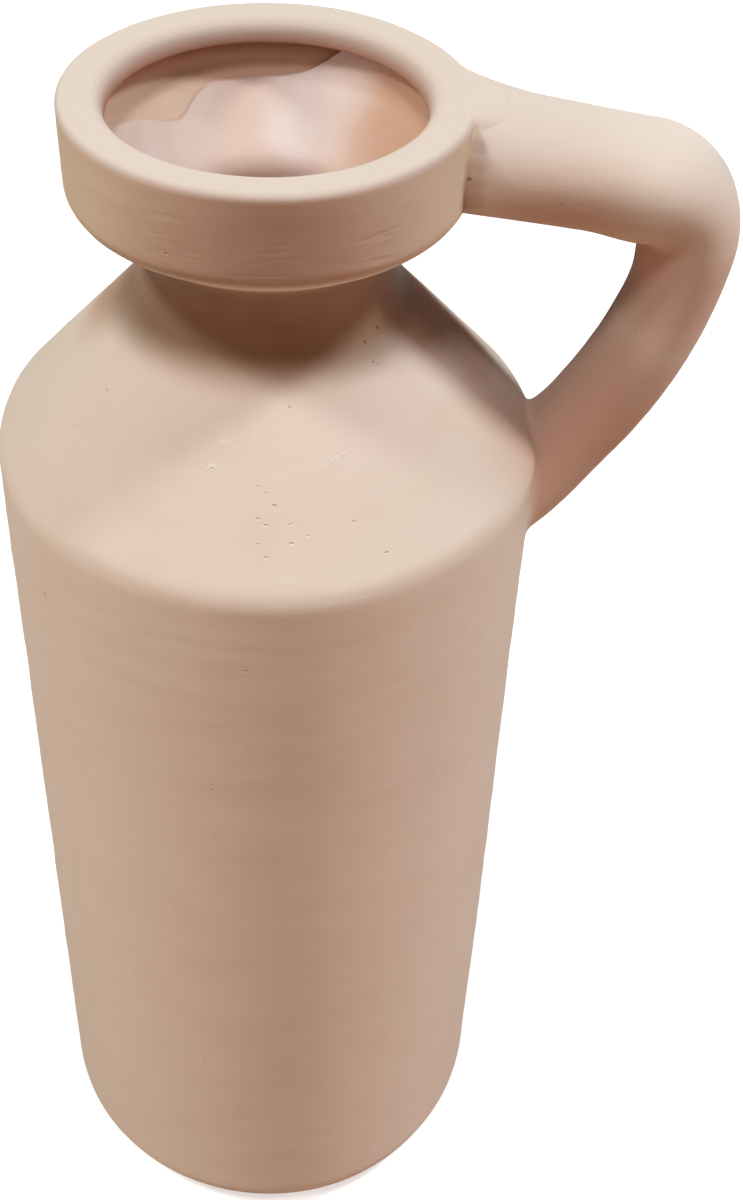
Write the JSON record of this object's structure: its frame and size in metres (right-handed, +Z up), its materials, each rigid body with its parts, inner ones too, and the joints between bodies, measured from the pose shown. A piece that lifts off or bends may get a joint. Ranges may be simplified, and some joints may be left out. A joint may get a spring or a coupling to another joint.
{
  "type": "single-handled jug vase",
  "caption": "Tall cylindrical ceramic jug with a sloping shoulder, narrow throat, wide flat-ringed mouth cup and a thick bent side handle.",
  "frame": {"origin": "centre of the resting face, on the axis of the round body", "axes": "+Z up along the body's axis, +X towards the handle, the plane y = 0 is the plane of symmetry"},
  "size_m": [0.1549, 0.118, 0.3225],
  "materials": {
    "blush_clay": "matte unglazed",
    "joint_slip": "matte unglazed",
    "inner_glaze": "satin glaze"
  },
  "bodies": {
    "root": {"base": "blush_clay", "body_wall": "blush_clay", "shoulder": "blush_clay", "neck": "blush_clay", "mouth_cup": "blush_clay", "lip_ring": "blush_clay", "handle": "blush_clay", "inner_glaze": "inner_glaze", "base_joint_slip": "joint_slip", "shoulder_joint_slip": "joint_slip", "neck_joint_slip": "joint_slip", "cup_joint_slip": "joint_slip", "lip_joint_slip": "joint_slip", "handle_upper_slip": "joint_slip", "handle_lower_slip": "joint_slip"}
  },
  "joints": []
}
